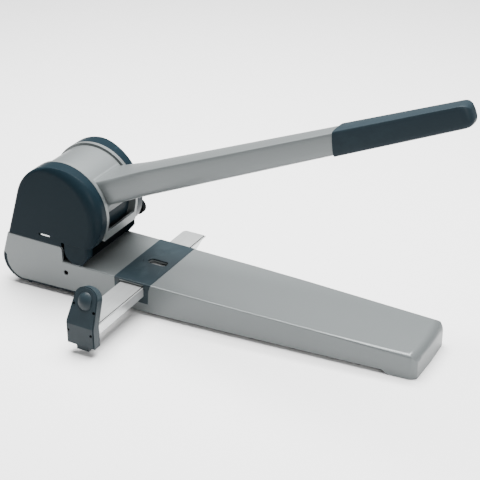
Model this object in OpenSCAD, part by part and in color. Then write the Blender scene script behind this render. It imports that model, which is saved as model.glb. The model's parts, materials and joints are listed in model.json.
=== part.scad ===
// Heavy duty hole punch: long base, side guide, lever head with a rack-driven punch yoke.
// Row frame: origin on the table below the lever axis, +X to the front tip, +Z up, millimetres.
// Most pieces are drawn on the deck, whose plane slopes down to the front.

/* [Punching] */
// Distance between the centres of the two holes
hole_spacing = 80; // [79:0.5:82]
// Diameter of a punch
punch_d = 5.5; // [5:0.5:6]
// From the edge of the paper to the centre of a hole
paper_margin = 12; // [11.5:0.5:12.5]
// Height of the paper throat below the covers
throat_h = 26; // [25:0.5:27]
// How far a punch reaches below the deck when the lever is down
punch_depth = 2; // [1:0.5:3]
// How far the lever swings up, in degrees
lever_swing = 80; // [70:1:80]

/* [Base] */
// Height of the deck above the table, under the lever axis
deck_h = 46.5; // [46:0.5:48]
// Slope of the deck down to the front, in degrees
deck_tilt = 2.13; // [1.9:0.1:2.3]
// Width of the base at the head
base_w = 105; // [104:0.5:106]
// Width of the base half way along
mid_w = 98.6; // [97:0.2:100]
// Width of the base where its front end rolls down
nose_w = 85.2; // [84:0.2:87]
// From the lever axis to the front end
base_reach = 453; // [448:1:456]
// Wall of the base shell
base_wall = 3; // [2.5:0.5:3.5]
// Radius where the deck rolls down at the front end
nose_roll = 13.5; // [12:0.5:15]
// Radius of the two front corners, seen from above
nose_corner = 12.5; // [11:0.5:14]
// How far the front end bows out at its middle
nose_bow = 2.4; // [1.6:0.2:4]
// Height of the rear housing above the deck
housing_h = 20; // [18:1:22]
// Lean of the rear wall, in degrees
rear_lean = 17.5; // [16:0.5:19]
// Radius of the lower rear corner
heel_r = 26; // [22:1:28]
// Height of a rubber foot
foot_h = 5; // [4.6:0.2:5.4]

/* [Head] */
// Height of the lever axis above the deck
axis_h = 62; // [61.5:0.5:63]
// Radius of the cheeks and of the side covers
cheek_r = 58.5; // [58:0.5:60]
// Radius of the drum at the root of the lever
drum_r = 55.5; // [55:0.5:56]
// Outer width over the two cheeks
cheek_w = 66; // [65:0.5:67]
// Thickness of one cheek
cheek_t = 4.7; // [4.2:0.1:5]
// Outer width over the two side covers
covers_w = 106; // [105:0.5:108]
// Wall of a side cover
cover_wall = 1.4; // [1.2:0.1:1.6]
// Radius of a side cover's edge at the front
cover_round = 15; // [13:0.5:16]
// Radius of a side cover's edge at the rear
cover_edge = 4; // [3:0.5:6]
// Diameter of the main shaft
shaft_d = 16; // [14:1:17]
// Tooth size of the pinion and the rack (module)
gear_module = 2.5; // [2.45:0.05:2.55]
// Diameter of a guide post
post_d = 8; // [7:0.5:9]

/* [Lever] */
// Rise of the lever above the deck at rest, in degrees
lever_rise = 22.8; // [20:0.5:25]
// From the axis to the end of the grip
lever_reach = 517; // [500:1:530]
// Width of the arm near the drum
arm_w = 37; // [34:1:40]
// Height of the arm near the drum
arm_h = 32; // [30:1:34]
// Width of the arm at the grip
arm_end_w = 26; // [24:1:28]
// Height of the arm at the grip
arm_end_h = 26; // [24:1:28]
// Length of the grip
grip_len = 155; // [140:1:165]
// Wall of the grip
grip_wall = 1.6; // [1.2:0.2:2]

/* [Guide] */
// From the lever axis to the rear edge of the saddle
saddle_x = 77.4; // [75:0.2:80]
// Length of the saddle along the base
saddle_len = 48.8; // [47:0.2:50]
// Width of the guide rail
rail_w = 31; // [30:0.5:31.5]
// Depth of the guide rail
rail_h = 11.7; // [11:0.1:12.5]
// Length of the guide rail
rail_len = 243; // [225:1:250]
// From the middle of the base to the face of the end stop
stop_y = 143; // [138:1:150]
// Width of the end stop at its bend
stop_w = 36.4; // [35:0.2:38]
// Width of the end stop where its round top begins
stop_top_w = 31; // [29:0.5:33]
// Height of the end stop above its bend
stop_h = 41; // [39:0.5:43]
// Lean of the upper part of the end stop, in degrees
stop_lean = 21; // [16:1:24]

/* [Hidden] */

$fn = 96;
eps = 0.01;
far = 600;
run_fit = 0.05;
gap = 0.3;

silver = [0.62, 0.64, 0.64];
dark = [0.20, 0.26, 0.30];
steel = [0.75, 0.76, 0.78];
bright = [0.86, 0.87, 0.88];
bronze = [0.72, 0.52, 0.28];
black = [0.08, 0.08, 0.09];

half_base = base_w / 2;
half_mid = mid_w / 2;
mid_x = 210;
nose_x = 437;
rear_slope = (half_base - half_mid) / mid_x;
front_slope = (half_mid - nose_w / 2) / (nose_x - mid_x);
half_cheek = cheek_w / 2;
cheek_in = half_cheek - cheek_t;
half_cover = covers_w / 2;
shaft_r = shaft_d / 2;
post_r = post_d / 2;
punch_r = punch_d / 2;
hole_y = hole_spacing / 2;

// Drive: one turn of the pinion by an angle lifts the rack by pitch radius times angle
pinion_teeth = 16;
pitch_r = gear_module * pinion_teeth / 2;
punch_x = pitch_r;
stop_x = punch_x - paper_margin;
travel = pitch_r * lever_swing * PI / 180;

// Everything drawn inside stands on the deck's plane
module on_deck() translate([0, 0, deck_h]) rotate([0, deck_tilt, 0]) children();

module on_axis() on_deck() translate([0, 0, axis_h]) children();

module box(lo, hi) translate(lo) cube(hi - lo);

module both_sides() {
    children();
    mirror([0, 1, 0]) children();
}

// A profile drawn in X and Z, made solid from y0 to y1
module across(y0, y1) translate([0, y1, 0]) rotate([90, 0, 0]) linear_extrude(y1 - y0) children();

// A rod along Y
module rod(r, y0, y1) translate([0, y1, 0]) rotate([90, 0, 0]) cylinder(r = r, h = y1 - y0);

// A square quadrant below and left of the origin, with a round corner there
module round_corner(r) {
    translate([-far, -far]) square([far - r, far]);
    translate([-far, -far]) square([far, far - r]);
    translate([-r, -r]) circle(r);
}

module round_rect(w, h, r) {
    translate([-w / 2 + r, -h / 2]) square([w - 2 * r, h]);
    translate([-w / 2, -h / 2 + r]) square([w, h - 2 * r]);
    for (x = [-1, 1], y = [-1, 1]) translate([x * (w / 2 - r), y * (h / 2 - r)]) circle(r);
}

// An unbroken round wire wound on a radius, from height 0 to h, with level end rings cut to length
module coil_spring(radius, wire, turns, h, steps = 8, sides = 6) {
    count = turns * steps;
    rise = (h - wire) / count;
    ring = [for (i = [0:count], k = [0:sides - 1])
        let (a = 360 * i / steps, b = 360 * k / sides, r = radius + wire / 2 * cos(b))
        [r * cos(a), r * sin(a), wire / 2 + rise * i + wire / 2 * sin(b)]];
    walls = [for (i = [0:count - 1], k = [0:sides - 1])
        let (k2 = (k + 1) % sides, a = i * sides, b = a + sides)
        each [[a + k, b + k2, b + k], [a + k, a + k2, b + k2]]];
    caps = [[for (k = [0:sides - 1]) sides - 1 - k], [for (k = [0:sides - 1]) count * sides + k]];
    // least gap between one turn and the next, over every pair of their points
    reach = (steps + 2) * sides;
    least = min([for (i = [0:2 * steps], k = [0:sides - 1], m = [(steps - 2) * sides:reach])
        if (i * sides + k + m < len(ring)) norm(ring[i * sides + k] - ring[i * sides + k + m])]);
    echo(least_gap_of_spring = least);
    polyhedron(ring, concat(walls, caps));
}

// Base

edge_r = 1.5;
deck_t = base_wall + 0.4;
tangent_x = -cheek_r * cos(rear_lean);
tangent_z = axis_h + cheek_r * sin(rear_lean);
heel_z = -41.55;
heel_lip = 1.6;
heel_shift = 3.2;
housing_x = 4.4;
housing_round = 5;
skirt_z = foot_h;
nose_clear = 0.5;
step_x = 411;
step_l = 6;
plate_t = 1.3;
tray_z = 7.1;
tray_floor = 1.8;
wall_end = tray_z + tray_floor + 0.2;
floor_end = 45;
bow_r = (nose_w * nose_w / 4 + nose_bow * nose_bow) / (2 * nose_bow);
nose_edge = 6;
nose_ease = 0.4;

function half_w(x) = min(half_base, half_base - x * rear_slope, half_mid - (x - mid_x) * front_slope);
function rear_x(z) = tangent_x - (tangent_z - z) * tan(rear_lean);

// Rear outline of the base in X and Z: leaning wall and round heel, drawn inwards by an inset
module rear_outline(inset) {
    lean = inset / cos(rear_lean);
    cz = heel_z + heel_r;
    cx = rear_x(cz) + heel_r / cos(rear_lean);
    bottom = heel_z + inset;
    difference() {
        polygon([[rear_x(far / 4) + lean, far / 4], [far, far / 4], [far, bottom],
                 [rear_x(bottom) + lean, bottom]]);
        difference() {
            polygon([[cx, cz], [cx - 60 * cos(rear_lean), cz + 60 * sin(rear_lean)], [cx - 90, bottom - 30],
                     [cx, bottom - 30]]);
            translate([cx, cz]) circle(heel_r - inset);
        }
    }
}

// The space on the inner side of one leaning-in plane of a side wall, under a top with a round edge
module wall_plane(x, half, slope, r, top) translate([x, half, top]) rotate([0, 0, -atan(slope)])
    rotate([90, 0, 90]) translate([0, 0, -far]) linear_extrude(2 * far) round_corner(r);

module wall_side(inset, r, top) intersection() {
    wall_plane(0, half_base - inset, 0, r, top);
    wall_plane(0, half_base - inset, rear_slope, r, top);
    wall_plane(mid_x, half_mid - inset, front_slope, r, top);
}

// The space between the two side walls and under a top with round edges
module side_walls(inset, r, top) intersection() {
    wall_side(inset, r, top);
    mirror([0, 1, 0]) wall_side(inset, r, top);
}

// Front end: the deck rolls down to a bowed upright face, and the two corners are round from above
module nose_form(inset, top) intersection() {
    translate([base_reach - bow_r, 0, 0]) rotate_extrude() intersection() {
        translate([bow_r - inset, top]) round_corner(nose_roll - inset);
        translate([0, -far]) square(2 * far);
    }
    nose_plan(inset);
    mirror([0, 1, 0]) nose_plan(inset);
}

module nose_plan(inset) translate([base_reach - inset, half_w(base_reach) - inset + 0.02, -far])
    rotate([0, 0, -atan(front_slope)]) linear_extrude(2 * far) round_corner(nose_corner - inset);

// The long edges of the deck grow rounder towards the front end
module long_edge() translate([base_reach + 2, half_w(base_reach + 2), 0])
    rotate([0, nose_ease, -atan(front_slope) - nose_ease]) rotate([90, 0, 90]) translate([0, 0, -far])
        linear_extrude(2 * far) round_corner(nose_edge);

module base_outside() {
    intersection() {
        side_walls(0, 1.5, housing_h);
        across(-far, far) rear_outline(0);
        across(-far, far) difference() {
            translate([-far, -far]) square([far + housing_x, far + housing_h]);
            difference() {
                translate([housing_x - housing_round, housing_h - housing_round]) square(far);
                translate([housing_x - housing_round, housing_h - housing_round])
                    circle(housing_round);
            }
        }
    }
    intersection() {
        side_walls(0, edge_r, 0);
        across(-far, far) rear_outline(0);
        box([housing_x - 1, -far, -far], [far, far, 0]);
        nose_form(0, 0);
        long_edge();
        mirror([0, 1, 0]) long_edge();
    }
}

// Hollow of the shell: open to the head at the rear, under the deck further on
module base_inside() intersection() {
    side_walls(base_wall, 0.5, far / 4);
    across(-far, far) {
        rear_outline(base_wall);
        translate([-50, -far]) square([2 * far, far]);
    }
    union() {
        box([-far, -far, -far], [housing_x + eps, far, far]);
        nose_form(base_wall, -deck_t);
    }
}

// The heel's inner line, and the space below the slanted seam above the tray's panel
module heel_inner(inset) translate([heel_shift, 0]) rear_outline(heel_lip + inset);

module below_seam(drop) {
    x = rear_x(heel_open);
    z = heel_open - drop;
    polygon([[-far, z], [x, z], [x + 8, z - 8], [-20, z - 8], [-20, -far], [-far, -far]]);
}

// What is cut away below the base: table clearance, the step near the front, the chip tray's slot
module under_base() across(-far, far) polygon([[-far, -far], [-far, wall_end], [floor_end, wall_end],
    [floor_end, skirt_z], [step_x, skirt_z], [step_x + step_l, nose_clear], [far, nose_clear], [far, -far]]);

tunnel_x = saddle_x + 6.5;
rail_x = tunnel_x + 1.6;
tunnel_end = rail_x + rail_w + gap;
rail_t = 1.5;
rail_top = -deck_t - 1.8;
tunnel_z = rail_top - rail_h - 2.3;
channel_half = half_mid - base_wall - gap;
rear_leg_z = -16;
front_leg_z = -26;
hook_z = rail_top - rail_h - 0.7;
hook_l = 7.6;
window_l = 25.5;
window_w = 11;
window_x = saddle_x + 28;
saddle_t = 1.6;
proud = 0.4;

module rail_tunnel() box([tunnel_x, -far, tunnel_z], [tunnel_end, far, -deck_t]);

module window(z0, z1, grow) translate([window_x, 0, z0]) linear_extrude(z1 - z0)
    round_rect(window_l + 2 * grow, window_w + 2 * grow, window_w / 2 - 1 + grow);

// The strap over the deck with two legs down each side wall, the front one hooked below the rail
module saddle_strap(skin) difference() {
    intersection() {
        side_walls(-skin, edge_r, skin);
        union() {
            box([saddle_x, -far, -saddle_t], [saddle_x + saddle_len, far, far]);
            box([saddle_x, -far, rear_leg_z], [tunnel_x, far, 0]);
            across(-far, far) polygon([[tunnel_end, 0], [tunnel_end, hook_z],
                [tunnel_end - hook_l, hook_z], [tunnel_end - hook_l, front_leg_z],
                [tunnel_end + 5.2, front_leg_z], [tunnel_end + 6.4, -8], [saddle_x + saddle_len, 0]]);
        }
    }
    intersection() {
        side_walls(saddle_t, edge_r, -saddle_t);
        box([-far, -far, -far], [far, far, -saddle_t]);
    }
}

bush_r = 6;
wall_screw_x = 8.4;
wall_screw_z = -14;
tray_w = 88;
tray_front = 44;
heel_open = -8;
post_x = -18;
post_y = 40;

module base_shell() color(silver) difference() {
    on_deck() difference() {
        base_outside();
        base_inside();
        difference() {
            saddle_strap(10);
            side_walls(saddle_t, edge_r, -saddle_t);
        }
        rail_tunnel();
        window(-10, 10, 0);
        for (s = [-1, 1]) translate([punch_x, s * hole_y, -10]) cylinder(r = bush_r, h = 20);
        box([0, -half_cheek - gap, -10], [stop_x, half_cheek + gap, 10]);
        translate([wall_screw_x, 0, wall_screw_z]) rod(2.2, -far, far);
        translate([wall_screw_x, 0, wall_screw_z]) rod(3.2, -far, -half_base + 2);
        translate([wall_screw_x, 0, wall_screw_z]) rod(3.2, half_base - 2, far);
        across(-far, far) difference() {
            below_seam(0);
            heel_inner(0.1);
        }
        across(-half_base + base_wall, half_base - base_wall) difference() {
            below_seam(0);
            rear_outline(base_wall + 0.1);
        }
    }
    under_base();
}

plate_screws = [[62, 42], [200, 40], [step_x - 30, 28]];
pillar_r = 4.5;
plate_x0 = -50;
plate_inset = 5.5;

module at_plate_screws() for (p = plate_screws, s = [-1, 1]) translate([p[0], s * p[1], 0]) children();

module bottom_plate() color(dark) difference() {
    intersection() {
        box([plate_x0, -far, skirt_z], [step_x - 3, far, skirt_z + plate_t]);
        on_deck() side_walls(plate_inset, edge_r, 0);
    }
    at_plate_screws() {
        cylinder(r = 1.6, h = skirt_z + 10);
        cylinder(r = 3.2, h = skirt_z + 0.9);
    }
}

// Pillars from the bottom plate to the deck, for the base screws
module base_pillars() color(steel) difference() {
    intersection() {
        at_plate_screws() translate([0, 0, skirt_z + plate_t]) cylinder(r = pillar_r, h = 60);
        on_deck() box([-far, -far, -far], [far, far, -deck_t]);
    }
    at_plate_screws() cylinder(r = 1.6, h = skirt_z + 8.9);
}

module base_screws() color(steel) at_plate_screws() translate([0, 0, skirt_z + 0.9]) {
        cylinder(r = 1.6, h = 8);
        translate([0, 0, -1.4]) difference() {
            cylinder(r = 2.8, h = 1.4);
            translate([-2, -0.35, -eps]) cube([4, 0.7, 0.7]);
        }
    }

foot_r = 9;
feet = [[-38, 28], [step_x - 15, 22]];

module foot() difference() {
    cylinder(r = foot_r, h = foot_h);
    translate([0, 0, 1]) difference() {
        cylinder(r = foot_r + 1, h = 0.6);
        translate([0, 0, -eps]) cylinder(r = foot_r - 0.5, h = 1);
    }
}

// Two feet at each end, and one under the punches that takes the push of the lever
module rubber_feet() color(black) {
    foot();
    for (p = feet, s = [-1, 1]) translate([p[0], s * p[1], 0]) foot();
}

module wall_screws() color(steel) on_deck() both_sides()
    translate([wall_screw_x, 0, wall_screw_z]) difference() {
        union() {
            rod(2.2, -half_base + 2, -half_cheek - 7);
            rod(3, -half_base + 1.2, -half_base + 2);
        }
        translate([0, -half_base + 1.2, 0]) rotate([90, 0, 0])
            cylinder(r = 1.5, h = 0.8, center = true, $fn = 6);
    }

// Guide: saddle, rail, end stop

module guide_saddle() color(dark) on_deck() difference() {
    saddle_strap(proud);
    window(-10, 10, 0);
    translate([saddle_x + 9.8, -3.7, -0.3]) cylinder(r = 1, h = 2);
    rotate([0, -deck_tilt, 0]) translate([0, 0, -deck_h]) box([-far, -far, -far], [far, far, skirt_z]);
}

module rail_channel() color(dark) on_deck() difference() {
    box([rail_x - 2.6, -channel_half, tunnel_z], [tunnel_end + 1.6, channel_half, -deck_t]);
    difference() {
        box([rail_x - 1, -far, tunnel_z + 1.6], [tunnel_end, far, far]);
        for (x = [rail_x + 4, rail_x + rail_w - 8])
            box([x, -far, -far], [x + 2, far, rail_top - rail_t - gap]);
    }
}

rail_edge = 1;
groove_w = 1.3;
rail_seat = 6;
rail_end = rail_len - stop_y - rail_seat;

// The rail's section in X and Z: flat top, flange in front, short lip at the rear
module rail_section() difference() {
    translate([rail_x, rail_top - rail_h]) square([rail_w, rail_h]);
    difference() {
        translate([-far, -far]) square([far + rail_x + rail_w - rail_t, far + rail_top - rail_t]);
        translate([rail_x, rail_top - 10]) square([rail_t, 10]);
    }
}

module guide_rail() color(bright) on_deck() difference() {
    across(-stop_y - rail_seat, rail_end) difference() {
        rail_section();
        translate([rail_x + rail_w - rail_edge, rail_top - rail_edge]) difference() {
            square(2 * rail_edge);
            circle(rail_edge);
        }
        translate([rail_x + rail_w - rail_edge - groove_w, rail_top - 0.9]) square([groove_w - 0.1, 2]);
    }
    // far end: round corner on top and a raked flange
    translate([rail_x, rail_end, 0]) linear_extrude(far, center = true) difference() {
        translate([-1, -5]) square([6, 6]);
        translate([5, -5]) circle(5);
    }
    translate([far / 2, 0, 0]) rotate([0, -90, 0]) linear_extrude(far)
        polygon([[rail_top - rail_h - 1, rail_end - 34], [rail_top - rail_h - 1, rail_len],
                 [rail_top - rail_t, rail_len], [rail_top - rail_t, rail_end - 8]]);
}

stop_x0 = rail_x - 4.1;
stop_mid = stop_x0 + stop_w / 2;
stop_t = 11;
stop_skin = 3;
stop_base_z = -31;
bend_z = -5;
stop_foot = 7.1;
stop_shift = 2;

// Drawn on the end stop's upper part: X across it, Y into it, Z up along its lean
module on_stop() translate([stop_mid, -stop_y, bend_z]) rotate([-stop_lean, 0, 0]) children();

// Front view of the upper part: sides that draw in a little and a round top, drawn inwards by an inset
module stop_arch(inset) {
    w0 = stop_w / 2 - inset;
    w1 = stop_top_w / 2 - inset;
    r = w1 - 1.5;
    top = stop_h - inset;
    polygon([[-w0, -8], [w0, -8], [w0, 0], [stop_shift + w1, top - r], [stop_shift - w1, top - r], [-w0, 0]]);
    translate([stop_shift - w1 + r, top - r - eps]) square([2 * (w1 - r), r + eps]);
    for (s = [-1, 1]) translate([stop_shift + s * (w1 - r), top - r]) circle(r);
}

// The upper part leans back from the upright lower one, so its faces meet it a little further out
module stop_form(y0, y1, inset) {
    k = 1 / cos(stop_lean);
    intersection() {
        on_stop() across(y0, y1) stop_arch(inset);
        box([-far, -far, bend_z], [far, far, far]);
    }
    intersection() {
        box([stop_x0 + inset, -stop_y + y0 * k, stop_base_z + inset],
            [stop_x0 + stop_w - inset, -stop_y + y1 * k, bend_z]);
        on_stop() box([-far, -far, -far], [far, far, far]);
    }
}

button_x = stop_shift + 0.5;
button_up = 25;
button_rx = 8.4;
button_out = 4.2;
button_ball = 14.5;
button_back = 4;
button_travel = 2.5;

module at_button() on_stop() translate([button_x, 0, button_up]) children();

module button_bore(r_more, y0, y1) at_button() across(y0, y1)
    round_rect(2 * (button_rx + r_more), 2 * (button_rx + r_more) + 4, button_rx + r_more - 0.1);

stop_screw_at = [[-11.5, 19.7], [15.3, 14.5]];
stop_low_screws = [-15.6, 14.6];

module stop_screw_holes(r, y0, y1) {
    for (p = stop_screw_at) on_stop() translate([p[0], 0, p[1]]) rod(r, y0, y1);
    for (x = stop_low_screws) translate([stop_mid + x, -stop_y, -13.6])
        rod(r, y0, min(y1, -rail_seat - gap));
}

module end_stop() color(dark) on_deck() difference() {
    union() {
        stop_form(-stop_t + stop_skin, 0, 0);
        translate([stop_mid - 7.9, -stop_y - stop_t + stop_skin, stop_base_z - stop_foot])
            cube([15.9, stop_t - stop_skin - 1, stop_foot + eps]);
    }
    across(-stop_y - rail_seat, far) rail_section();
    button_bore(0.25, -far, -3);
    stop_screw_holes(1.1, -far, -3);
}

module stop_plate() color(dark) on_deck() difference() {
    intersection() {
        stop_form(-stop_t, -stop_t + stop_skin, 0);
        union() {
            stop_form(-stop_t + 1.2, -stop_t + stop_skin, 0);
            stop_form(-stop_t, -stop_t + stop_skin, 1.2);
        }
    }
    button_bore(0.25, -far, 0);
    stop_screw_holes(1.1, -far, far);
    stop_screw_holes(1.8, -far, -stop_t + 1.4);
}

module stop_screws() color(steel) on_deck() {
    stop_screw_holes(1.1, -stop_t + 1.4, -3.2);
    stop_screw_holes(1.65, -stop_t + 0.6, -stop_t + 1.4);
}

module release_button() color(dark) on_deck() difference() {
    intersection() {
        button_bore(0, -stop_t - button_out, -stop_t + button_back);
        at_button() translate([0, button_ball - stop_t - button_out, 0]) sphere(r = button_ball);
    }
    // pocket for the spring, as deep as the button travels
    at_button() rod(4.4, -stop_t + button_back - button_travel, 0);
}

// Drawn at the length that it has when the button is pressed
module button_spring() color(steel) on_deck() at_button() translate([0, -stop_t + button_back, 0])
    rotate([-90, 0, 0]) coil_spring(3, 0.7, 3, stop_t - button_back - 3);

// Head: fixed frame, covers and guides

drum_half = cheek_in - 0.4;
drum_wall = 3;
guard_half = drum_half - 3.5;
guard_r = drum_r - drum_wall - 1.3;
bush_t = 3;
throat_top = axis_h - 31;
yoke_z = 27;
yoke_t = 10;
presser_z = gap;
presser_t = 9;
yoke_x0 = 16.5;
yoke_x1 = 29.5;
ear_x0 = post_x - 8;
ear_in = half_cheek + 1.9;
ear_out = 45.2;
post_top = 94;
band_top = 43;

module at_axis() translate([0, axis_h]) children();

// Outline of the head in X and Z: round at the top, with the leaning rear wall
module head_outline(inset, z_low) {
    at_axis() circle(cheek_r - inset);
    lean = inset / cos(rear_lean);
    polygon([[0, axis_h], [rear_x(tangent_z) + lean, tangent_z - inset * sin(rear_lean)],
             [rear_x(z_low) + lean, z_low], [0, z_low]]);
}

module cheek_profile() difference() {
    union() {
        difference() {
            head_outline(0, housing_h + gap);
            translate([-far, -far]) square([2 * far, far + housing_h + gap]);
        }
        intersection() {
            head_outline(base_wall + gap, frame_floor);
            rear_outline(base_wall + gap);
            translate([-far, frame_floor]) square(2 * far);
        }
        translate([-20, frame_floor]) square([20 + stop_x - 0.5, throat_top - frame_floor + 10]);
        polygon([[0, throat_top], [53.5, throat_top], [56.3, axis_h - 16], [0, axis_h]]);
    }
    translate([stop_x - 0.5, -far]) square([far, far + throat_top]);
    // room for the presser and for the yoke at the top of their travel
    translate([stop_x - 0.6, -far])
        square([yoke_x1 - stop_x + 1.6, far + presser_z + presser_t + travel + 0.8]);
    translate([yoke_x0 - 0.5, -far])
        square([yoke_x1 - yoke_x0 + 1.5, far + yoke_z + yoke_t + travel + 0.8]);
    at_axis() circle(shaft_r + bush_t);
}

frame_floor = -24;

module head_frame() color(silver) on_deck() difference() {
    union() {
        both_sides() across(-half_cheek, -cheek_in) cheek_profile();
        // rear panel between the cheeks
        across(-cheek_in - eps, cheek_in + eps) difference() {
            head_outline(0, housing_h + gap);
            at_axis() circle(drum_r + 0.6);
            polygon([[far, far], [-20, far], [-20, axis_h + 30], [-far, axis_h + 30], [-far, far]]);
            head_outline_inner();
            translate([-far, -far]) square([2 * far, far + housing_h + gap]);
            translate([-20, -far]) square([far, 2 * far]);
            translate([-far, axis_h + 30]) square([2 * far, far]);
        }
        // front band with its underside
        across(-cheek_in - eps, cheek_in + eps) {
            polygon([[53.5, throat_top], [55.9, band_top], [53.2, band_top + 0.6], [50.5, throat_top]]);
            translate([38, throat_top]) square([15, 2.4]);
        }
        // floor of the frame and lugs to the side walls
        box([-58, -cheek_in - eps, frame_floor], [stop_x - 0.5, cheek_in + eps, frame_floor + 3]);
        both_sides() {
            box([wall_screw_x - 7, -half_base + base_wall + gap, wall_screw_z - 6],
                [wall_screw_x + 0.2, -half_cheek + eps, wall_screw_z + 5]);
            box([wall_screw_x - 7, -half_base + base_wall + gap, wall_screw_z - 6],
                [wall_screw_x + 4.6, -half_cheek - 4, wall_screw_z + 5]);
            box([ear_x0, -half_base + base_wall + gap, -12], [post_x + 8, -half_cheek + eps, -4]);
            box([post_x - 6, -post_y - 6, post_top], [post_x + 6, -half_cheek + eps, post_top + 5]);
        }
    }
    // room for the tray's panel
    across(-far, far) difference() {
        below_seam(-gap);
        heel_inner(gap);
    }
    both_sides() {
        translate([post_x, -post_y, -10]) cylinder(r = post_r + run_fit, h = post_top + 20);
        translate([wall_screw_x, 0, wall_screw_z]) rod(2.2, -far, -half_cheek - 7);
    }
}

module head_outline_inner() {
    polygon([[0, tangent_z], [rear_x(tangent_z) + 3.2, tangent_z], [rear_x(0) + 3.2, 0], [0, 0]]);
}

module inner_guard() color(dark) on_deck() across(-guard_half, guard_half) difference() {
    at_axis() circle(guard_r);
    at_axis() circle(guard_r - 2.2);
    translate([-far, -far]) square([2 * far, far + throat_top + 2.4]);
    at_axis() rotate(72) square(far);
    translate([-far, -far]) square([far, 2 * far]);
}

module paper_stop() color(steel) on_deck()
    box([stop_x - 3, -cheek_in, frame_floor + 3], [stop_x, cheek_in, throat_h + 2]);

module shaft_bushes() color(bronze) on_axis() both_sides() difference() {
    rod(shaft_r + bush_t, -half_cheek, -cheek_in + gap / 2);
    rod(shaft_r + run_fit, -far, far);
}

module guide_posts() color(bright) on_deck() both_sides()
    translate([post_x, -post_y, -10]) cylinder(r = post_r, h = post_top + 15);

module post_nuts() color(steel) on_deck() both_sides()
    translate([post_x, -post_y, post_top + 5]) difference() {
        cylinder(r = 6, h = 3.4, $fn = 6);
        translate([0, 0, -eps]) cylinder(r = post_r, h = 4);
    }

spring_wire = 1.5;
spring_r = post_r + 0.6 + spring_wire / 2;

module return_springs() color(steel) on_deck() both_sides()
    translate([post_x, -post_y, yoke_z + yoke_t]) coil_spring(spring_r, spring_wire, 11,
        post_top - yoke_z - yoke_t);

// Side cover in profile: radius and distance from the middle
module cover_half(outer, edge, inset) {
    r = outer - inset;
    y = half_cover - inset;
    c = edge - inset;
    y0 = half_cheek + 0.6 - 2 * inset;
    translate([0, y0]) square([r - c, y - y0]);
    translate([0, y0]) square([r, y - c - y0]);
    intersection() {
        translate([r - c, y - c]) circle(c);
        translate([0, y0]) square([r, y - y0]);
    }
}

// Three quarters of a round, and the leaning rear part for the last quarter
module cover_bulk(outer, edge, inset) rotate([0, rear_lean, 0]) {
    rotate([90, 0, 0]) rotate([0, 0, -90]) rotate_extrude(angle = 270) cover_half(outer, edge, inset);
    rotate([0, 0, 180]) translate([0, 0, -110]) linear_extrude(110) cover_half(outer, edge, inset);
}

// A narrow edge all round, and a wide one that runs out towards the rear
module cover_form(inset) translate([0, 0, axis_h]) intersection() {
    cover_bulk(cheek_r, cover_edge, inset);
    translate([-cover_shift * cos(20), 0, -cover_shift * sin(20)])
        cover_bulk(cheek_r + cover_shift + 0.05, cover_round, inset);
}

cover_shift = 10;
slot_x = -27.4;
slot_l = 15.8;
slot_z = 29.7;
slot_w = 2.6;
knob_x = 42;
knob_z = 34.3;
knob_y = 54;
knob_t = 7;
knob_r = 9.8;
knob_neck = 4;

module near_cover() color(dark) on_deck() side_cover();

module far_cover() color(dark) on_deck() difference() {
    mirror([0, 1, 0]) side_cover();
    at_knob() rod(knob_neck + 0.2, 30, far);
}

module at_knob() translate([knob_x, 0, knob_z]) children();

// Turning knob outside the far cover, with a bar across it and a neck in the cover's wall
module lock_knob() color(black) on_deck() at_knob() {
    difference() {
        union() {
            rod(knob_r, knob_y, knob_y + knob_t);
            rod(knob_neck, knob_y - 2.5, knob_y + 1);
        }
        difference() {
            translate([0, knob_y + knob_t - 3, 0]) rod(knob_r - 1.6, 0, 4);
            rotate([0, 35, 0]) box([-far, 0, -2.6], [far, far, 2.6]);
        }
    }
}

module side_cover() difference() {
    cover_form(0);
    cover_form(cover_wall);
    box([-far, -far, -far], [housing_x + 0.4, far, housing_h + gap]);
    box([housing_x, -far, -far], [far, far, throat_h]);
    box([slot_x, -half_cover - 1, slot_z - slot_w / 2], [slot_x + slot_l, -45, slot_z + slot_w / 2]);
}

module cover_clips() color(bright) on_deck() both_sides() {
    clip_y = -half_cover + cover_wall;
    clip_x = slot_x + 2.6;
    box([clip_x, -half_cover + 0.8, slot_z - slot_w / 2 + 0.1],
        [slot_x + slot_l - gap, clip_y + 1, slot_z + slot_w / 2 - 0.1]);
    box([clip_x, clip_y, slot_z - slot_w / 2 - 2],
        [slot_x + slot_l + 2, clip_y + 1, slot_z + slot_w / 2 + 2]);
}

// Lever: drum, arm, grip, shaft and pinion

hub_r = 14;
gear_half = 10;
arm_lift = 5;
grip_start = lever_reach - grip_len;

module on_lever() on_axis() rotate([0, -lever_rise, 0]) children();

function smooth(t) = let (c = min(1, max(0, t))) c * c * (3 - 2 * c);
function mix(a, b, t) = a + (b - a) * t;

// Half width and half height of the arm at a distance from the axis
function arm_hw(u) = u < 120
    ? mix(drum_half, arm_w / 2, smooth((u - 54) / 62))
    : mix(arm_w / 2, arm_end_w / 2, (u - 120) / (grip_start - 120));
function arm_hh(u) = mix(arm_h / 2 + 1, arm_end_h / 2, (u - 60) / (grip_start - 60));

// Right half of the arm's section from top to bottom: flat top, ridge, bulging side, round bottom
section = [[0, 1], [0.45, 0.995], [0.86, 0.96], [0.93, 0.9], [0.975, 0.68], [1, 0.3], [0.99, -0.15],
           [0.95, -0.5], [0.87, -0.77], [0.7, -0.93], [0.4, -0.99], [0, -1]];
half_ring = len(section);
ring_count = 2 * half_ring - 2;
ring_shape = [for (i = [0:ring_count - 1])
    i < half_ring ? section[i] : let (p = section[ring_count - i]) [-p[0], p[1]]];

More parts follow.
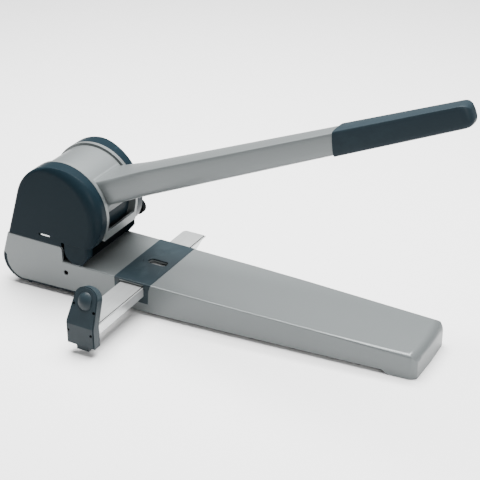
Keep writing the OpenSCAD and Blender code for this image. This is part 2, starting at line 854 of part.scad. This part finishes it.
// A solid through rings given as [distance, half width, half height, lift]
module lofted(rings) {
    points = [for (s = rings, p = ring_shape) [s[0], s[1] * p[0], s[2] * p[1] + s[3]]];
    last = len(rings) - 1;
    walls = [for (i = [0:last - 1], k = [0:ring_count - 1])
        let (k2 = (k + 1) % ring_count, a = i * ring_count, b = a + ring_count)
        each [[a + k, b + k2, b + k], [a + k, a + k2, b + k2]]];
    caps = [[for (k = [0:ring_count - 1]) ring_count - 1 - k],
            [for (k = [0:ring_count - 1]) last * ring_count + k]];
    polyhedron(points, concat(walls, caps));
}

arm_stations = concat([for (u = [36:6:126]) u], [for (i = [1:6]) mix(126, grip_start, i / 6)],
                      [lever_reach - 30, lever_reach - 9]);

module arm_form() lofted([for (u = arm_stations) [u, arm_hw(u), arm_hh(u), arm_lift]]);

// The part of the head's round that the drum leaves open below
module drum_mouth(front) at_axis() polygon([[0, 0], far * [cos(188), sin(188)],
    far * [cos(240), sin(240)], far * [cos(300), sin(300)], far * [cos(front), sin(front)]]);

module lever_arm() color(silver) {
    difference() {
        on_lever() arm_form();
        on_axis() rod(drum_r - 0.8, -far, far);
    }
    on_deck() difference() {
        union() {
            across(-drum_half, drum_half) difference() {
                at_axis() circle(drum_r);
                at_axis() circle(drum_r - drum_wall);
                drum_mouth(4);
            }
            both_sides() across(-drum_half, -drum_half + 3) difference() {
                at_axis() circle(drum_r - 1);
                drum_mouth(-2);
            }
            both_sides() translate([0, 0, axis_h]) rod(hub_r, -drum_half, -gear_half - 0.2);
        }
        translate([0, 0, axis_h]) rod(shaft_r, -far, far);
    }
}

// Scale of the grip's sections near its end, so that the end is a blunt dome
function dome(u) = let (t = max(0, (u - lever_reach + 13) / 13)) sqrt(1 - 0.84 * pow(t, 3));
grip_stations = concat([grip_start - 14, grip_start + 20, grip_start + 60, grip_start + 100],
                       [for (u = [lever_reach - 20:2:lever_reach]) u]);

module lever_grip() color(dark) difference() {
    on_lever() lofted([for (u = grip_stations)
        let (h = arm_hh(u) + grip_wall, w = arm_hw(u) + grip_wall)
        [u, w * dome(u), h * dome(u), arm_lift]]);
    on_lever() arm_form();
    on_lever() translate([grip_start, 0, arm_lift]) rotate([0, 18, 0])
        box([-60, -far / 4, -far / 4], [0, far / 4, far / 4]);
}

module main_shaft() color(bright) on_axis() difference() {
    rod(shaft_r, -half_cheek - 0.6, half_cheek + 0.6);
    key_way();
    both_sides() rod(2.5, -half_cheek - 1, -half_cheek + 12);
}

module key_way() box([-2.5, -gear_half + 1, shaft_r - 2.5], [2.5, gear_half - 1, shaft_r + 2.5]);

module shaft_key() color(steel) on_axis() key_way();

module shaft_caps() color(steel) on_axis() both_sides() {
    rod(shaft_r + 1.6, -half_cheek - 1.5, -half_cheek - 0.6);
    rod(2.5, -half_cheek - 0.6, -half_cheek + 12);
}

backlash = 0.25;
pressure = 20;
addendum = 0.8 * gear_module;
dedendum = 1.04 * gear_module;
pitch = PI * gear_module;

function involute(a) = tan(a) * 180 / PI - a;
function tooth_half(r) = let (rb = pitch_r * cos(pressure), flank = r < rb ? 0 : involute(acos(rb / r)))
    (pitch / 2 - backlash) / 2 / pitch_r * 180 / PI + involute(pressure) - flank;

function polar(r, a) = [r * cos(a), r * sin(a)];

module pinion_outline() {
    radii = [for (i = [0:5]) mix(pitch_r - dedendum, pitch_r + addendum, i / 5)];
    polygon([for (k = [0:pinion_teeth - 1]) let (a = 360 * k / pinion_teeth)
        each concat([for (i = [0:5]) polar(radii[i], a - tooth_half(radii[i]))],
                    [for (i = [0:5]) polar(radii[5 - i], a + tooth_half(radii[5 - i]))])]);
}

module pinion() color(steel) on_axis() difference() {
    across(-gear_half, gear_half) pinion_outline();
    rod(shaft_r + run_fit, -far, far);
    key_way();
}

// Punch unit: yoke, rack and punches, lifted by the pinion

rack_half = 9.5;
rack_top = axis_h + 8.5;
rack_back = 25;
column_x = 31;

rack_bottom = yoke_z - 3.3;

// One tooth of the rack from its upper root to its lower root
function rack_tooth(z) = let (half = (pitch / 2 - backlash) / 2, slope = tan(pressure))
    [[pitch_r + dedendum, z + half + dedendum * slope], [pitch_r - addendum, z + half - addendum * slope],
     [pitch_r - addendum, z - half + addendum * slope], [pitch_r + dedendum, z - half - dedendum * slope]];

module rack() color(steel) on_deck() across(-rack_half, rack_half)
    polygon(concat([[rack_back, rack_bottom], [rack_back, rack_top], [pitch_r + dedendum, rack_top]],
        [for (k = [0:-1:-5]) each rack_tooth(axis_h + (k + 0.5) * pitch)],
        [[pitch_r + dedendum, rack_bottom]]));

module punch_yoke() color(steel) on_deck() difference() {
    union() {
        difference() {
            box([yoke_x0, -ear_out, yoke_z], [yoke_x1, ear_out, yoke_z + yoke_t]);
            box([yoke_x0 - 1, -gear_half - 0.8, yoke_z - 1],
                [rack_back, gear_half + 0.8, yoke_z + yoke_t + 1]);
        }
        box([rack_back, -gear_half - 4, yoke_z], [column_x, gear_half + 4, yoke_z + yoke_t]);
        box([rack_back, -rack_half, yoke_z], [column_x, rack_half, rack_top]);
        both_sides() box([ear_x0, -ear_out, yoke_z], [yoke_x1, -ear_in, yoke_z + yoke_t]);
    }
    both_sides() {
        translate([post_x, -post_y, yoke_z - 1]) cylinder(r = post_r + run_fit, h = yoke_t + 2);
        translate([punch_x, -hole_y, yoke_z - 1]) cylinder(r = punch_r, h = yoke_t + 2);
        translate([punch_x, -hole_y, yoke_z + yoke_t - 1.6]) cylinder(r = punch_r + 1.3, h = 2);
    }
    for (z = rack_screw_z) translate([0, 0, z]) rotate([0, 90, 0]) cylinder(r = 2, h = far);
}

rack_screw_z = [yoke_z + 16, rack_top - 8];

module rack_screws() color(steel) on_deck() for (z = rack_screw_z)
    translate([0, 0, z]) rotate([0, 90, 0]) {
        translate([0, 0, rack_back]) cylinder(r = 2, h = column_x - rack_back);
        translate([0, 0, column_x]) cylinder(r = 3.4, h = 2);
    }

module punches() color(bright) on_deck() both_sides() translate([punch_x, -hole_y, 0]) {
    translate([0, 0, -punch_depth]) cylinder(r = punch_r, h = yoke_z + yoke_t + punch_depth);
    translate([0, 0, yoke_z + yoke_t - 1.6]) cylinder(r = punch_r + 1.3, h = 1.6);
}

module punch_clips() color(steel) on_deck() both_sides()
    box([yoke_x0 - 2.5, -ear_out + 0.2, yoke_z + yoke_t], [yoke_x1 - 1, -ear_in - 0.5, yoke_z + yoke_t + 2]);

module presser_springs() color(steel) on_deck() both_sides()
    translate([post_x, -post_y, presser_z + presser_t])
        coil_spring(spring_r, spring_wire, 4, yoke_z - presser_z - presser_t);

// Presser: the clamp bar that holds the paper, with a shoe on each end

module presser_bar() color(black) on_deck() difference() {
    union() {
        box([stop_x + 0.5, -ear_out, presser_z], [yoke_x1, ear_out, presser_z + presser_t]);
        both_sides() box([ear_x0, -ear_out, presser_z], [yoke_x1, -ear_in, presser_z + presser_t]);
    }
    both_sides() {
        translate([post_x, -post_y, -1]) cylinder(r = post_r + run_fit, h = 30);
        translate([punch_x, -hole_y, -1]) cylinder(r = punch_r + run_fit, h = 30);
    }
}

shoe_x0 = 7.5;
shoe_x1 = 44;
shoe_z = 0.1;
shoe_out = half_cover - cover_wall - gap;
shoe_heel = 15.5;
shoe_tip = 31;
shoe_corner = 8;

module shoe() intersection() {
    across(-shoe_out, -ear_out) {
        difference() {
            translate([shoe_x0, shoe_z]) square([shoe_x1 - shoe_x0, 33]);
            difference() {
                translate([shoe_x0 - 1, shoe_z - 1]) square(shoe_heel + 1);
                translate([shoe_x0 + shoe_heel, shoe_z + shoe_heel]) circle(shoe_heel);
            }
            polygon([[shoe_tip, shoe_z - 1], [shoe_tip, shoe_z], [shoe_x1 + 1, 17], [far, 17], [far, -1]]);
        }
    }
    linear_extrude(60) difference() {
        translate([0, -shoe_out]) square([shoe_x1, shoe_out]);
        difference() {
            translate([shoe_x1 - shoe_corner, -shoe_out - 1]) square([shoe_corner + 1, shoe_corner + 1]);
            translate([shoe_x1 - shoe_corner, -shoe_out + shoe_corner]) circle(shoe_corner);
        }
    }
}

module near_shoe() color(dark) on_deck() shoe();

module far_shoe() color(dark) on_deck() mirror([0, 1, 0]) shoe();

// Under the deck: die plate, bushes and chip tray

die_t = 6;
die_half = 48.4;

module die_plate() color(steel) on_deck() difference() {
    box([stop_x, -die_half, -deck_t - die_t], [punch_x + 12, die_half, -deck_t]);
    for (s = [-1, 1]) translate([punch_x, s * hole_y, -20]) cylinder(r = bush_r, h = 40);
    both_sides() box([0, -60, -20], [wall_screw_x + 5, -half_cheek + gap, -deck_t + 1]);
}

module die_bushes() color(bright) on_deck() both_sides()
    translate([punch_x, -hole_y, -deck_t - die_t]) difference() {
        cylinder(r = bush_r, h = deck_t + die_t);
        translate([0, 0, -1]) cylinder(r = punch_r + 0.1, h = 30);
        translate([0, 0, -1]) cylinder(r = punch_r + 1, h = 4);
    }

tray_t = 1.4;
tray_h = 12;
nub_x = -49;

module chip_tray() color(dark) difference() {
    union() {
        // box under the punches
        intersection() {
            difference() {
                box([plate_x0 - 22, -tray_w / 2, tray_z], [tray_front, tray_w / 2, tray_z + tray_h]);
                box([plate_x0 - 20, -tray_w / 2 + tray_t, tray_z + tray_floor],
                    [tray_front - tray_t, tray_w / 2 - tray_t, far]);
            }
            on_deck() across(-far, far) rear_outline(0.2);
        }
        // floor out to the side walls
        intersection() {
            box([-far, -half_base + 0.1, tray_z], [floor_end - 0.4, half_base - 0.1, tray_z + tray_floor]);
            on_deck() across(-far, far) rear_outline(0.2);
        }
        // panel round the heel
        on_deck() across(-half_base + 0.05, half_base - 0.05) difference() {
            intersection() {
                rear_outline(0);
                below_seam(gap);
            }
            heel_inner(0);
            translate([rear_x(-20) + heel_r + 6, -far]) square([far, 2 * far]);
        }
        both_sides() translate([nub_x - 1.8, -half_base + 0.6, tray_z - 1.8]) cube([3.6, 3, 3]);
    }
    difference() {
        box([-far, -far, -far], [far, far, tray_z]);
        box([nub_x - 1.8, -far, -far], [nub_x + 1.8, far, far]);
    }
}

base_shell();
bottom_plate();
rubber_feet();
base_pillars();
base_screws();
wall_screws();
guide_saddle();
rail_channel();
die_plate();
die_bushes();
head_frame();
inner_guard();
paper_stop();
shaft_bushes();
guide_posts();
post_nuts();
return_springs();
near_cover();
far_cover();
cover_clips();
lever_arm();
lever_grip();
main_shaft();
shaft_caps();
pinion();
shaft_key();
punch_yoke();
rack();
rack_screws();
punches();
punch_clips();
presser_springs();
presser_bar();
near_shoe();
far_shoe();
guide_rail();
end_stop();
stop_plate();
stop_screws();
release_button();
button_spring();
chip_tray();
lock_knob();
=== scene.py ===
# Heavy duty hole punch, dressed for the camera.
# Metres, origin on the table below the lever axis, +X to the front end, +Z up.
import json
import math

import bmesh
import bpy
from mathutils import Matrix, Vector


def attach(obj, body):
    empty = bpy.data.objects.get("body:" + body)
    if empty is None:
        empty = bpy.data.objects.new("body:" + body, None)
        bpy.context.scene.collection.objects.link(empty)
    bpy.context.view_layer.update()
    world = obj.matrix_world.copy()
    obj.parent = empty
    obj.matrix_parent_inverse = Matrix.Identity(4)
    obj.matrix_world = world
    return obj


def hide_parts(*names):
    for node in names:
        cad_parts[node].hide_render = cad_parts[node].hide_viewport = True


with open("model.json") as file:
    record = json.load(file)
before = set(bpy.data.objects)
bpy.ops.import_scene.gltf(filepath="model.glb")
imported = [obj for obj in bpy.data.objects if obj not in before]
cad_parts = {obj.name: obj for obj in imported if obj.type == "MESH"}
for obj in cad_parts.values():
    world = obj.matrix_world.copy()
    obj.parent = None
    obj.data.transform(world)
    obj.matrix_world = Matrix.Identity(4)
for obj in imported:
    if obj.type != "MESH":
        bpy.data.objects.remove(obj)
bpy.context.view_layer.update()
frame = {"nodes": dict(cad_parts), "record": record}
nodes = frame["nodes"]
record = frame["record"]
body_of = {node: body for body, names in record["behaviour"]["bodies"].items() for node in names}
slot_of = {part["node"]: part["material_slot"] for part in record["subparts"]}

MM = 0.001

# The deck is a plane that slopes down to the front: its height under the lever axis, and its slope
DECK_HEIGHT = 46.5
DECK_SLOPE = math.radians(2.13)

# The groove in the guide rail's front edge, in millimetres on the deck: where it starts and ends along
# the base, and between which heights its faces are painted dark as the groove's shade
RAIL_TOP = -5.2
GROOVE_X = (114.1, 115.5)
GROOVE_Z = (RAIL_TOP - 2.0, RAIL_TOP - 0.1)

# Corners closer than this, in metres, are one corner, and faces flatter than this are one face
SAME_CORNER = 2e-6
SAME_FACE = math.radians(0.5)
# Edges sharper than these stay crisp, or are eased
CRISP_EDGE = math.radians(32)
EASED_EDGE = math.radians(35)


def on_deck(x, y, z):
    """A point given in millimetres on the deck, as a point of the frame in metres."""
    return (deck_direction(x, y, z) + Vector((0, 0, DECK_HEIGHT))) * MM


def deck_direction(x, y, z):
    c, s = math.cos(DECK_SLOPE), math.sin(DECK_SLOPE)
    return Vector((x * c + z * s, y, -x * s + z * c))


def along_and_above_deck(place):
    """How far a point of the frame lies along the deck and above it, in millimetres."""
    c, s = math.cos(DECK_SLOPE), math.sin(DECK_SLOPE)
    x, z = place.x / MM, place.z / MM - DECK_HEIGHT
    return x * c - z * s, x * s + z * c


# Camera and stage

# The lens and the place of the camera were fitted to the straight edges of the base in the photo
PHOTO_WIDTH_PX = 480
FOCAL_LENGTH_PX = 1272.97
SENSOR_WIDTH = 36
# It looks across the deck from the near side: its turn about the deck's upright, and its lift
CAMERA_TURN = math.radians(28.65)
CAMERA_LIFT = math.radians(28.57)
# Where it stands, in millimetres: back, right and up from this point along the deck
CAMERA_PIVOT_X = 77.35
CAMERA_BACK, CAMERA_RIGHT, CAMERA_UP = 1523.45, 121.89, 20.48

# The stage, in metres: how far the camera sees, and how far the floor goes from the punch
SIGHT = 20
FLOOR_REACH = 6
STUDIO_LIGHT = 0.45
# All lamps point at the middle of the punch. Each has a place, a width and height, and a power in watts.
LAMP_AIM = (0.1, 0, 0.06)
LAMPS = {
    "ceiling panel": ((0.1, 0.25, 1.6), (1.8, 1.2), 210),
    "front panel": ((1.3, -0.8, 0.6), (0.35, 0.5), 10),
}


def make_camera():
    data = bpy.data.cameras.new("camera")
    data.sensor_width = SENSOR_WIDTH
    data.lens = FOCAL_LENGTH_PX * SENSOR_WIDTH / PHOTO_WIDTH_PX
    data.clip_end = SIGHT
    camera = bpy.data.objects.new("camera", data)
    bpy.context.scene.collection.objects.link(camera)
    level = math.cos(CAMERA_LIFT)
    back = deck_direction(math.sin(CAMERA_TURN) * level, -math.cos(CAMERA_TURN) * level,
                          math.sin(CAMERA_LIFT))
    right = deck_direction(math.cos(CAMERA_TURN), math.sin(CAMERA_TURN), 0)
    up = back.cross(right)
    camera.matrix_world = Matrix((right, up, back)).transposed().to_4x4()
    away = back * CAMERA_BACK + right * CAMERA_RIGHT + up * CAMERA_UP
    camera.location = on_deck(CAMERA_PIVOT_X, 0, 0) + away * MM
    bpy.context.scene.camera = camera


def add_lamp(name, place, size, power):
    light = bpy.data.lights.new(name, "AREA")
    light.shape = "RECTANGLE"
    light.size, light.size_y = size
    light.energy = power
    lamp = bpy.data.objects.new(name, light)
    lamp.location = place
    lamp.rotation_euler = (Vector(place) - Vector(LAMP_AIM)).to_track_quat("Z", "Y").to_euler()
    bpy.context.scene.collection.objects.link(lamp)


def make_stage():
    mesh = bpy.data.meshes.new("floor")
    corners = [(x * FLOOR_REACH, y * FLOOR_REACH, 0) for x, y in ((-1, -1), (1, -1), (1, 1), (-1, 1))]
    mesh.from_pydata(corners, [], [range(4)])
    mesh.materials.append(flat_finish("floor", (0.64, 0.64, 0.64), rough=0.8))
    floor = bpy.data.objects.new("floor", mesh)
    bpy.context.scene.collection.objects.link(floor)
    world = bpy.data.worlds.new("studio")
    world.use_nodes = True
    sky = world.node_tree.nodes["Background"]
    sky.inputs["Color"].default_value = (1, 1, 1, 1)
    sky.inputs["Strength"].default_value = STUDIO_LIGHT
    bpy.context.scene.world = world
    for name, (place, size, power) in LAMPS.items():
        add_lamp(name, place, size, power)


# Shader nodes

# A noise keeps mostly to this range
NOISE_RANGE = (0.3, 0.7)
# A Mix node's sockets for colours: the two that go in, and the one that comes out
FIRST_COLOUR, SECOND_COLOUR, MIXED_COLOUR = 6, 7, 2


def add(tree, kind, inputs=(), **settings):
    """One shader node with its settings. Each input is given as (its name, a value or a socket)."""
    node = tree.nodes.new(kind)
    for key, value in settings.items():
        setattr(node, key, value)
    for key, source in inputs:
        if isinstance(source, bpy.types.NodeSocket):
            tree.links.new(source, node.inputs[key])
        else:
            node.inputs[key].default_value = source
    return node


def place_on_piece(tree):
    """Where a point lies in the piece's own metres, so that a pattern moves with the piece."""
    return add(tree, "ShaderNodeTexCoord").outputs["Object"]


def noise(tree, where, per_metre, octaves=3.0, rough=0.55):
    return add(tree, "ShaderNodeTexNoise", [("Vector", where), ("Scale", per_metre), ("Detail", octaves),
                                            ("Roughness", rough)]).outputs["Fac"]


def ramp(tree, value, low, high, to_low=0.0, to_high=1.0):
    """A value that runs between low and high, spread between two others."""
    return add(tree, "ShaderNodeMapRange", [("Value", value), ("From Min", low), ("From Max", high),
                                            ("To Min", to_low), ("To Max", to_high)]).outputs["Result"]


def maths(tree, operation, *values):
    return add(tree, "ShaderNodeMath", enumerate(values), operation=operation).outputs[0]


def mix_colours(tree, factor, first, second, blend="MIX"):
    mix = add(tree, "ShaderNodeMix", [("Factor", factor), (FIRST_COLOUR, first), (SECOND_COLOUR, second)],
              data_type="RGBA", blend_type=blend)
    return mix.outputs[MIXED_COLOUR]


def varied(tree, pattern, amount):
    """A tone of about 1, moved up and down by a noise."""
    return maths(tree, "MULTIPLY_ADD", maths(tree, "SUBTRACT", pattern, 0.5), amount, 1.0)


# Shared effects. Each group is built once, and each material sets its own sizes and amounts.

def new_group(name, inputs, outputs):
    """A group with named numbers going in and out, with the nodes that hold them."""
    tree = bpy.data.node_groups.new(name, "ShaderNodeTree")
    for label, value in inputs.items():
        socket = tree.interface.new_socket(label, in_out="INPUT", socket_type="NodeSocketFloat")
        socket.default_value = value
    for label in outputs:
        tree.interface.new_socket(label, in_out="OUTPUT", socket_type="NodeSocketFloat")
    return tree, tree.nodes.new("NodeGroupInput").outputs, tree.nodes.new("NodeGroupOutput").inputs


def moulded_grain_group():
    """Leather-like grain of a moulded part: its relief, and a faint mottling of tone and gloss."""
    clouds_per_metre, gloss_spread = 14.0, 0.04
    tree, given, result = new_group("moulded grain", {"Grain size": 0.0006, "Mottle": 0.08},
                                    ("Height", "Tone", "Gloss"))
    where = place_on_piece(tree)
    per_metre = maths(tree, "DIVIDE", 1.0, given["Grain size"])
    cells = add(tree, "ShaderNodeTexVoronoi", [("Vector", where), ("Scale", per_metre)])
    pores = noise(tree, where, per_metre, 2.0)
    clouds = noise(tree, where, clouds_per_metre, 4.0)
    tree.links.new(maths(tree, "ADD", cells.outputs["Distance"], pores), result["Height"])
    tree.links.new(varied(tree, clouds, given["Mottle"]), result["Tone"])
    tree.links.new(ramp(tree, clouds, *NOISE_RANGE, -gloss_spread, gloss_spread), result["Gloss"])
    return tree


def satin_paint_group():
    """Sprayed metallic paint: orange peel, tiny flakes, and a slow drift of tone."""
    peel_per_metre, drift_per_metre = 900.0, 9.0
    flake_tone, gloss_spread = (0.97, 1.03), 0.05
    tree, given, result = new_group("satin paint", {"Flake size": 0.0004, "Drift": 0.04},
                                    ("Height", "Tone", "Gloss"))
    where = place_on_piece(tree)
    per_metre = maths(tree, "DIVIDE", 1.0, given["Flake size"])
    flakes = add(tree, "ShaderNodeTexVoronoi", [("Vector", where), ("Scale", per_metre)])
    of_flake = add(tree, "ShaderNodeSeparateColor", [("Color", flakes.outputs["Color"])]).outputs
    drift = varied(tree, noise(tree, where, drift_per_metre), given["Drift"])
    spark = ramp(tree, of_flake[0], 0.0, 1.0, *flake_tone)
    tree.links.new(noise(tree, where, peel_per_metre, 1.5), result["Height"])
    tree.links.new(maths(tree, "MULTIPLY", drift, spark), result["Tone"])
    tree.links.new(ramp(tree, of_flake[1], 0.0, 1.0, -gloss_spread, gloss_spread), result["Gloss"])
    return tree


def rubbed_edge_group():
    """Where handling has polished a part's outer edges: 0 on faces, up to Amount on worn edges."""
    patches_per_metre = 60.0
    # pointiness is 0.5 on a flat face and rises on an outer edge
    edge_range, patch_range = (0.52, 0.6), (0.42, 0.6)
    tree, given, result = new_group("rubbed edge", {"Amount": 0.5}, ("Wear",))
    bulge = add(tree, "ShaderNodeNewGeometry").outputs["Pointiness"]
    edge = ramp(tree, bulge, *edge_range)
    patches = noise(tree, place_on_piece(tree), patches_per_metre, 5.0, 0.7)
    broken_edge = maths(tree, "MULTIPLY", edge, ramp(tree, patches, *patch_range))
    tree.links.new(maths(tree, "MULTIPLY", broken_edge, given["Amount"]), result["Wear"])
    return tree


# Finishes

# How strongly handling shows on edges
RUBBED = 0.3
# Depth of a moulded or sprayed surface, and of brushed lines, in metres
RELIEF_DEPTH = 0.0002
BRUSHED_DEPTH = 0.0001


def blank_material(name):
    material = bpy.data.materials.new(name)
    material.use_nodes = True
    return material, material.node_tree, material.node_tree.nodes["Principled BSDF"].inputs


def flat_finish(name, colour, rough, shine=0.5):
    material, _, skin = blank_material(name)
    skin["Base Color"].default_value = (*colour, 1)
    skin["Roughness"].default_value = rough
    skin["Specular IOR Level"].default_value = shine
    return material


def add_relief(tree, skin, height, strength, depth):
    bump = add(tree, "ShaderNodeBump", [("Height", height), ("Strength", strength), ("Distance", depth)])
    tree.links.new(bump.outputs["Normal"], skin["Normal"])


def surfaced(name, group, colour, rough, bump, pattern=None, rubbed=None, metallic=0.0, coat=0.0, shine=0.5):
    """A finish whose tone, gloss and relief come from a shared group. Rubbed edges have a colour."""
    material, tree, skin = blank_material(name)
    skin["Metallic"].default_value = metallic
    skin["Coat Weight"].default_value = coat
    skin["Specular IOR Level"].default_value = shine
    surface = add(tree, "ShaderNodeGroup", node_tree=shared[group])
    for label, value in (pattern or {}).items():
        surface.inputs[label].default_value = value
    skin_colour = mix_colours(tree, 1.0, (*colour, 1), surface.outputs["Tone"], "MULTIPLY")
    if rubbed:
        worn = add(tree, "ShaderNodeGroup", node_tree=shared["rubbed edge"])
        worn.inputs["Amount"].default_value = RUBBED
        skin_colour = mix_colours(tree, worn.outputs["Wear"], skin_colour, (*rubbed, 1))
    tree.links.new(skin_colour, skin["Base Color"])
    tree.links.new(maths(tree, "ADD", surface.outputs["Gloss"], rough), skin["Roughness"])
    add_relief(tree, skin, surface.outputs["Height"], bump, RELIEF_DEPTH)
    return material


def brushed_metal(name, colour, rough, lines_per_metre, bump=0.15, metallic=1.0):
    """Bare or plated metal, with fine lines along the direction that has the fewest."""
    clouds_per_metre, line_tone = 30.0, (0.9, 1.04)
    smoothest, roughest = rough - 0.05, rough + 0.06
    material, tree, skin = blank_material(name)
    skin["Metallic"].default_value = metallic
    where = place_on_piece(tree)
    stretched = add(tree, "ShaderNodeMapping", [("Vector", where), ("Scale", lines_per_metre)])
    lines = noise(tree, stretched.outputs[0], 1.0, 3.0, 0.6)
    clouds = noise(tree, where, clouds_per_metre)
    tone = ramp(tree, lines, *NOISE_RANGE, *line_tone)
    tree.links.new(mix_colours(tree, 1.0, (*colour, 1), tone, "MULTIPLY"), skin["Base Color"])
    tree.links.new(ramp(tree, clouds, *NOISE_RANGE, smoothest, roughest), skin["Roughness"])
    add_relief(tree, skin, lines, bump, BRUSHED_DEPTH)
    return material


def silver_paint():
    """Shell, head frame and lever: fine metallic paint under a thin clear coat."""
    return surfaced("silver paint", "satin paint", (0.094, 0.104, 0.105), rough=0.38, bump=0.05,
                    pattern={"Drift": 0.05}, metallic=0.35, coat=0.05)


def dark_plastic():
    """Smooth blue-black plastic of the covers, the guard and the tray."""
    return surfaced("dark plastic", "moulded grain", (0.0044, 0.0095, 0.0130), rough=0.34, bump=0.08,
                    pattern={"Mottle": 0.10}, rubbed=(0.012, 0.024, 0.032), shine=0.04)


def guide_plastic():
    """The saddle, the end stop and its button are a little lighter than the covers."""
    return surfaced("guide plastic", "moulded grain", (0.0095, 0.0158, 0.0195), rough=0.36, bump=0.08,
                    pattern={"Mottle": 0.10}, rubbed=(0.03, 0.042, 0.048), shine=0.15)


def grip_skin():
    """Soft skin of the lever's grip, with a coarser grain."""
    return surfaced("grip skin", "moulded grain", (0.0095, 0.0155, 0.0195), rough=0.40, bump=0.10,
                    pattern={"Grain size": 0.0008, "Mottle": 0.12}, rubbed=(0.02, 0.032, 0.040),
                    shine=0.05)


def black_plastic():
    """Parts that only show as dark lines and hollows, and the lock knob."""
    return surfaced("black plastic", "moulded grain", (0.0015, 0.0025, 0.0032), rough=0.7, bump=0.2,
                    shine=0.03)


def black_rubber():
    return surfaced("black rubber", "moulded grain", (0.008, 0.008, 0.009), rough=0.75, bump=0.5,
                    shine=0.2)


def black_steel_and_groove_shade():
    """Blackened screws, and the painted shade in the rail's groove."""
    return flat_finish("black steel and groove shade", (0.001, 0.0012, 0.0015), rough=0.6, shine=0.02)


def guide_steel():
    """The side guide's bright strip, drawn lengthwise."""
    return brushed_metal("guide steel", (0.50, 0.515, 0.515), rough=0.22, lines_per_metre=(300, 12, 300),
                         bump=0.01, metallic=0.7)


def zinc_steel():
    """Plated screws, springs and plates, without a direction."""
    return brushed_metal("zinc steel", (0.60, 0.61, 0.62), rough=0.38, lines_per_metre=(220, 220, 220),
                         bump=0.1)


def bright_steel():
    """Ground posts, punches and shaft."""
    return brushed_metal("bright steel", (0.74, 0.75, 0.76), rough=0.18, lines_per_metre=(400, 400, 20),
                         bump=0.05)


def bronze():
    """Sintered bushes of the main shaft."""
    return brushed_metal("bronze", (0.50, 0.30, 0.13), rough=0.35, lines_per_metre=(300, 300, 300))


# Pieces made from the frame's own solids

def merged(node):
    """A copy of a solid's mesh: corners joined, flat faces whole, and smooth but for crisp edges."""
    mesh = nodes[node].data.copy()
    bm = bmesh.new()
    bm.from_mesh(mesh)
    bmesh.ops.remove_doubles(bm, verts=bm.verts, dist=SAME_CORNER)
    bmesh.ops.dissolve_limit(bm, angle_limit=SAME_FACE, verts=bm.verts, edges=bm.edges)
    bm.to_mesh(mesh)
    bm.free()
    for face in mesh.polygons:
        face.use_smooth = True
    mesh.set_sharp_from_angle(angle=CRISP_EDGE)
    return mesh


def ease_edges(piece, width):
    """Eased edges, as a real part has them."""
    bevel = piece.modifiers.new("eased edges", "BEVEL")
    bevel.width = width * MM
    bevel.segments = 2
    bevel.limit_method = "ANGLE"
    bevel.angle_limit = EASED_EDGE
    bevel.harden_normals = True
    bevel.use_clamp_overlap = True


def keep_flats_even(piece):
    """Large flat faces keep their own normals beside the small faces of a rounding."""
    even = piece.modifiers.new("even faces", "WEIGHTED_NORMAL")
    even.mode = "FACE_AREA"
    even.weight = 100
    even.keep_sharp = True


def dress(node, finish, edge=0.0):
    """A finished copy of a solid stands for it, with its edges eased by this many millimetres."""
    mesh = merged(node)
    mesh.materials.clear()
    mesh.materials.append(finishes[finish])
    piece = bpy.data.objects.new(node + "_finished", mesh)
    bpy.context.scene.collection.objects.link(piece)
    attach(piece, body_of[node])
    if edge:
        ease_edges(piece, edge)
    keep_flats_even(piece)
    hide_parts(node)
    return piece


def paint_groove_shade(rail):
    """Painted shade: the faces inside the groove along the rail's front edge take the near-black finish."""
    rail.data.materials.append(finishes["black steel and groove shade"])
    for face in rail.data.polygons:
        along, above = along_and_above_deck(face.center)
        if GROOVE_X[0] < along < GROOVE_X[1] and GROOVE_Z[0] < above < GROOVE_Z[1]:
            face.material_index = 1


def dress_base():
    """Painted shell on its rubber feet, with the dark saddle that the side guide runs in."""
    dress("base_shell", "silver paint", 0.6)
    dress("bottom_plate", "black plastic", 0.2)
    dress("rubber_feet", "black rubber", 0.3)
    dress("chip_tray", "dark plastic", 0.4)
    dress("guide_saddle", "guide plastic", 0.3)
    dress("rail_channel", "black plastic", 0.2)
    dress("wall_screws", "black steel and groove shade", 0.15)


def dress_head():
    """Painted frame between two covers, and what shows in the throat and under the lever."""
    dress("head_frame", "silver paint", 0.4)
    dress("near_cover", "dark plastic", 0.5)
    dress("far_cover", "dark plastic", 0.5)
    dress("cover_clips", "guide steel", 0.1)
    dress("inner_guard", "dark plastic", 0.2)
    dress("presser_bar", "black plastic", 0.3)
    dress("near_shoe", "dark plastic", 0.6)
    dress("far_shoe", "dark plastic", 0.6)
    dress("lock_knob", "black plastic", 0.4)


def dress_lever():
    """Drum and arm are rounded in the solid already, and so is the grip."""
    dress("lever_arm", "silver paint")
    dress("lever_grip", "grip skin")


def dress_guide():
    """Bright rail with its end stop, the stop's face plate, screws and button."""
    paint_groove_shade(dress("guide_rail", "guide steel", 0.2))
    dress("end_stop", "guide plastic", 0.6)
    dress("stop_plate", "guide plastic", 0.4)
    dress("release_button", "guide plastic", 0.4)
    dress("stop_screws", "black steel and groove shade", 0.1)


def finish_inner_metal():
    """Shafts, springs, rack and screws keep the frame's solids, with the metal of their slot."""
    metal = {"zinc_steel": "zinc steel", "bright_steel": "bright steel", "sheet_steel": "guide steel",
             "bronze_bush": "bronze"}
    for node, solid in nodes.items():
        if node + "_finished" not in bpy.data.objects:
            solid.data.materials.clear()
            solid.data.materials.append(finishes[metal[slot_of[node]]])


make_camera()
shared = {group.name: group for group in (moulded_grain_group(), satin_paint_group(), rubbed_edge_group())}
finishes = {finish.name: finish for finish in (
    silver_paint(), dark_plastic(), guide_plastic(), grip_skin(), black_plastic(), black_rubber(),
    black_steel_and_groove_shade(), guide_steel(), zinc_steel(), bright_steel(), bronze())}
make_stage()
dress_base()
dress_head()
dress_lever()
dress_guide()
finish_inner_metal()
